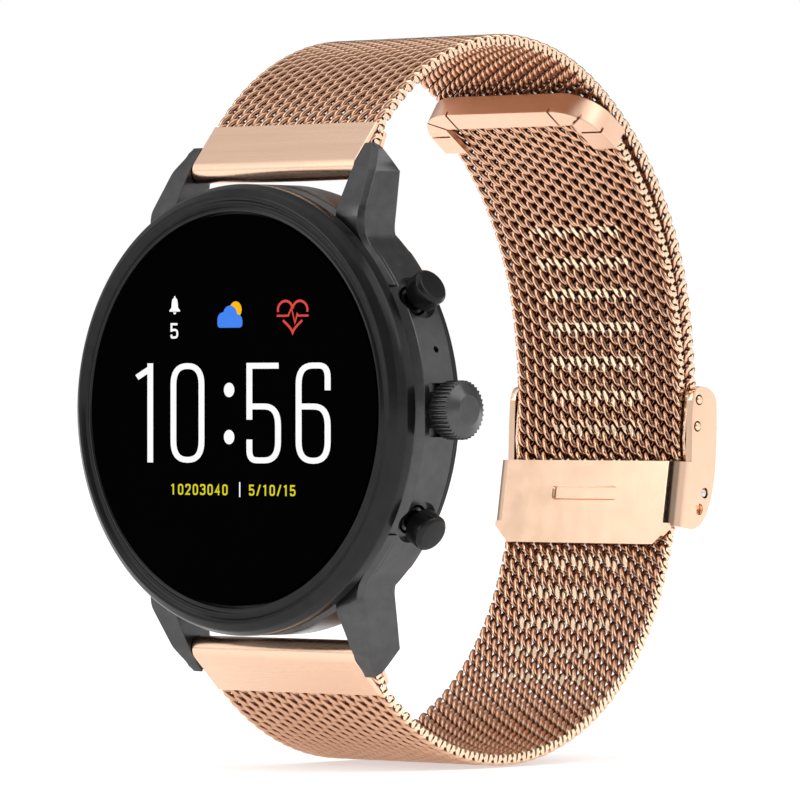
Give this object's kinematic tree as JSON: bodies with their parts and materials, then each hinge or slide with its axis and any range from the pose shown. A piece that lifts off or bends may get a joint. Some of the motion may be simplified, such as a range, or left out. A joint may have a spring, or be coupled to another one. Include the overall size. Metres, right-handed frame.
{
  "type": "smartwatch",
  "caption": "Round wrist computer with a flat dark display, side crown and push buttons, on a woven metal loop band that closes with a folding clasp.",
  "frame": {"origin": "centre of the flat outer face of the rear sensor window, on the dial axis", "axes": "+Y out of the case back towards the wrist, +Z to 12 o'clock, +X to 3 o'clock, the crown side"},
  "size_m": [0.0479, 0.0587, 0.0724],
  "materials": {
    "woven_rose_steel": "rose gold coated stainless wire, bright on the ground edges",
    "rose_sheet": "rose gold coated stainless sheet, satin with polished bends",
    "bare_steel": "plain stainless steel, turned",
    "graphite_case": "dark grey coated metal, satin",
    "black_ring": "black coated metal, semi-gloss",
    "cover_glass": "black-backed mineral glass, polished",
    "black_rubber": "moulded silicone rubber, matte",
    "circuit_board": "green solder-mask laminate",
    "black_plastic": "moulded black plastic, matte",
    "coil_copper": "enamelled copper winding",
    "foil_can": "tin-plated or foil-wrapped, dull"
  },
  "bodies": {
    "case": {"mid_case": "graphite_case", "bezel": "black_ring", "cover_glass": "cover_glass", "glass_gasket": "black_rubber", "bezel_gasket": "black_rubber", "rear_gasket": "black_rubber", "rear_cover": "black_ring", "sensor_window": "cover_glass", "cover_screw_1": "bare_steel", "cover_screw_2": "bare_steel", "cover_screw_3": "bare_steel", "cover_screw_4": "bare_steel", "display_panel": "cover_glass", "display_frame": "bare_steel", "main_board": "circuit_board", "shield_can": "foil_can", "battery": "foil_can", "haptic_motor": "bare_steel", "loudspeaker": "black_plastic", "charging_coil": "coil_copper", "sensor_board": "circuit_board", "microphone": "foil_can", "crown_tube": "graphite_case", "crown_seal": "black_rubber", "crown_encoder": "black_plastic", "upper_pusher_tube": "graphite_case", "upper_pusher_seal": "black_rubber", "upper_pusher_switch": "black_plastic", "lower_pusher_tube": "graphite_case", "lower_pusher_seal": "black_rubber", "lower_pusher_switch": "black_plastic", "upper_bar_tube": "bare_steel", "lower_bar_tube": "bare_steel"},
    "crown_slider": {"crown_collar": "bare_steel"},
    "crown_spindle": {"crown": "graphite_case", "crown_stem": "bare_steel"},
    "upper_button": {"upper_pusher": "graphite_case"},
    "lower_button": {"lower_pusher": "graphite_case"},
    "upper_tip_right": {"upper_bar_tip_right": "bare_steel"},
    "upper_tip_left": {"upper_bar_tip_left": "bare_steel"},
    "lower_tip_right": {"lower_bar_tip_right": "bare_steel"},
    "lower_tip_left": {"lower_bar_tip_left": "bare_steel"},
    "upper_half": {"upper_band": "woven_rose_steel", "upper_end_piece": "rose_sheet", "clasp_body": "rose_sheet", "clasp_lid_pin": "bare_steel", "clasp_guide_pin": "rose_sheet", "band_end_bracket": "rose_sheet", "clasp_rivet_right_1": "rose_sheet", "clasp_rivet_left_1": "rose_sheet", "clasp_rivet_right_2": "rose_sheet", "clasp_rivet_left_2": "rose_sheet"},
    "lower_half": {"lower_band": "woven_rose_steel", "lower_end_piece": "rose_sheet", "band_tip_trim": "rose_sheet"},
    "lid": {"clasp_lid": "rose_sheet"}
  },
  "joints": [
    {"name": "crown_press", "type": "slide", "parent": "case", "child": "crown_slider", "axis": [-1, 0, 0], "range_m": [0, 0.0004], "stiffness_N_per_m": 2500},
    {"name": "crown_turn", "type": "hinge", "parent": "crown_slider", "child": "crown_spindle", "pos_m": [0.02, -0.00615, 0], "axis": [1, 0, 0], "continuous": true},
    {"name": "upper_button_press", "type": "slide", "parent": "case", "child": "upper_button", "axis": [-0.8704, 0, -0.4924], "range_m": [0, 0.0007], "stiffness_N_per_m": 2000},
    {"name": "lower_button_press", "type": "slide", "parent": "case", "child": "lower_button", "axis": [-0.8704, 0, 0.4924], "range_m": [0, 0.0007], "stiffness_N_per_m": 2000},
    {"name": "upper_tip_right_slide", "type": "slide", "parent": "case", "child": "upper_tip_right", "axis": [-1, 0, 0], "range_m": [0, 0.0014], "stiffness_N_per_m": 900},
    {"name": "upper_tip_left_slide", "type": "slide", "parent": "case", "child": "upper_tip_left", "axis": [1, 0, 0], "range_m": [0, 0.0014], "stiffness_N_per_m": 900},
    {"name": "lower_tip_right_slide", "type": "slide", "parent": "case", "child": "lower_tip_right", "axis": [-1, 0, 0], "range_m": [0, 0.0014], "stiffness_N_per_m": 900},
    {"name": "lower_tip_left_slide", "type": "slide", "parent": "case", "child": "lower_tip_left", "axis": [1, 0, 0], "range_m": [0, 0.0014], "stiffness_N_per_m": 900},
    {"name": "upper_half_pivot", "type": "hinge", "parent": "case", "child": "upper_half", "pos_m": [0, -0.0049, 0.0236], "axis": [1, 0, 0], "range_deg": [-0.7, 0.7]},
    {"name": "lower_half_pivot", "type": "hinge", "parent": "case", "child": "lower_half", "pos_m": [0, -0.0049, -0.0236], "axis": [1, 0, 0], "range_deg": [-1.4, 1.4]},
    {"name": "lid_hinge", "type": "hinge", "parent": "upper_half", "child": "lid", "pos_m": [0, 0.04478, -0.00852], "axis": [-1, 0, 0], "range_deg": [0, 100]}
  ],
  "couplings": [
    {"joint": "lower_half_pivot", "follows": "upper_half_pivot", "ratio": -1.95}
  ]
}
